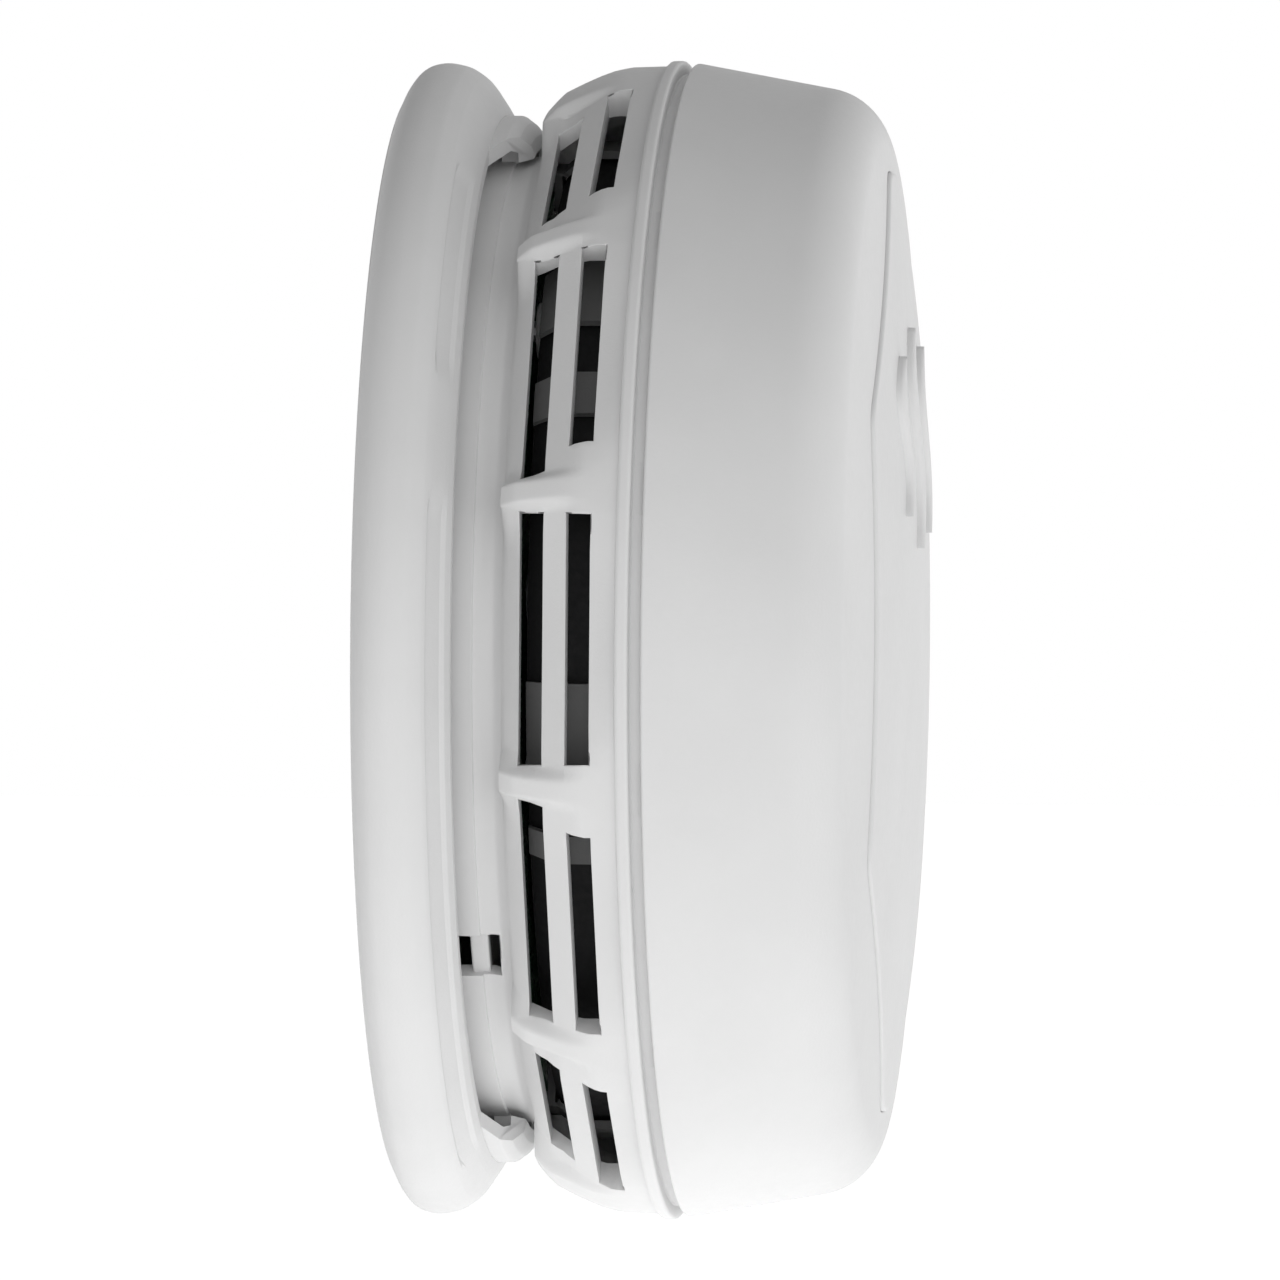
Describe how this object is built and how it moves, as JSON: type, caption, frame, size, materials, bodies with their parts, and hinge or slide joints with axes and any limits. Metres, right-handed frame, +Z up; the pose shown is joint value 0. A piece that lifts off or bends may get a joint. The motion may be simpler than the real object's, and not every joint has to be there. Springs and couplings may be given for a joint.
{
  "type": "smoke alarm",
  "caption": "Round wall or ceiling smoke alarm on a bayonet bracket, with a vented side ring, a large press-to-test front panel and a side battery drawer.",
  "frame": {"origin": "centre of the mounting bracket's back face, on the wall plane", "axes": "+Y out of the bracket's back into the wall, so the front of the alarm faces -Y; +Z up; +X towards the battery drawer"},
  "size_m": [0.1414, 0.063, 0.1414],
  "materials": {
    "white_plastic": "fine matte moulding texture",
    "black_plastic": "matte",
    "grey_plastic": "matte",
    "fibreglass": "solder mask",
    "steel": "zinc plated",
    "brass": "satin",
    "ceramic": "fired, dull",
    "clear_plastic": "clear moulding",
    "capacitor_sleeve": "shrunk sleeve",
    "battery_sleeve": "printed steel can, plain"
  },
  "bodies": {
    "bracket": {"mounting_bracket": "white_plastic"},
    "alarm": {"rear_housing": "white_plastic", "front_cover": "white_plastic", "battery_contact_positive": "brass", "battery_contact_negative": "brass", "circuit_board": "fibreglass", "board_screw_1": "steel", "board_screw_2": "steel", "board_screw_3": "steel", "cover_screw_1": "steel", "cover_screw_2": "steel", "cover_screw_3": "steel", "chamber_base": "black_plastic", "chamber_cap": "black_plastic", "insect_screen": "steel", "vent_screen": "black_plastic", "screen_frame": "grey_plastic", "infrared_emitter": "clear_plastic", "photodiode": "black_plastic", "horn_housing": "grey_plastic", "piezo_plate": "brass", "piezo_ceramic": "ceramic", "horn_contact_1": "steel", "horn_contact_2": "steel", "horn_contact_3": "steel", "tact_switch": "black_plastic", "status_led": "clear_plastic", "light_pipe": "clear_plastic", "control_chip": "black_plastic", "main_capacitor": "capacitor_sleeve", "filter_capacitor": "capacitor_sleeve", "varistor": "ceramic", "inductor": "brass", "resistor_1": "ceramic", "resistor_2": "ceramic", "resistor_3": "ceramic", "ratings_label": "grey_plastic"},
    "drawer": {"battery_drawer": "white_plastic", "battery": "battery_sleeve", "battery_terminal_positive": "steel", "battery_terminal_negative": "steel"},
    "button": {"test_button": "white_plastic", "tact_plunger": "white_plastic"}
  },
  "joints": [
    {"name": "bayonet_twist", "type": "hinge", "parent": "bracket", "child": "alarm", "pos_m": [0, 0, 0], "axis": [0, -1, 0], "range_deg": [0, 28]},
    {"name": "drawer_slide", "type": "slide", "parent": "alarm", "child": "drawer", "axis": [1, 0, 0], "range_m": [0, 0.045]},
    {"name": "test_button_press", "type": "slide", "parent": "alarm", "child": "button", "axis": [0, 1, 0], "range_m": [0, 0.0008], "stiffness_N_per_m": 800, "springref_m": -0.001}
  ]
}
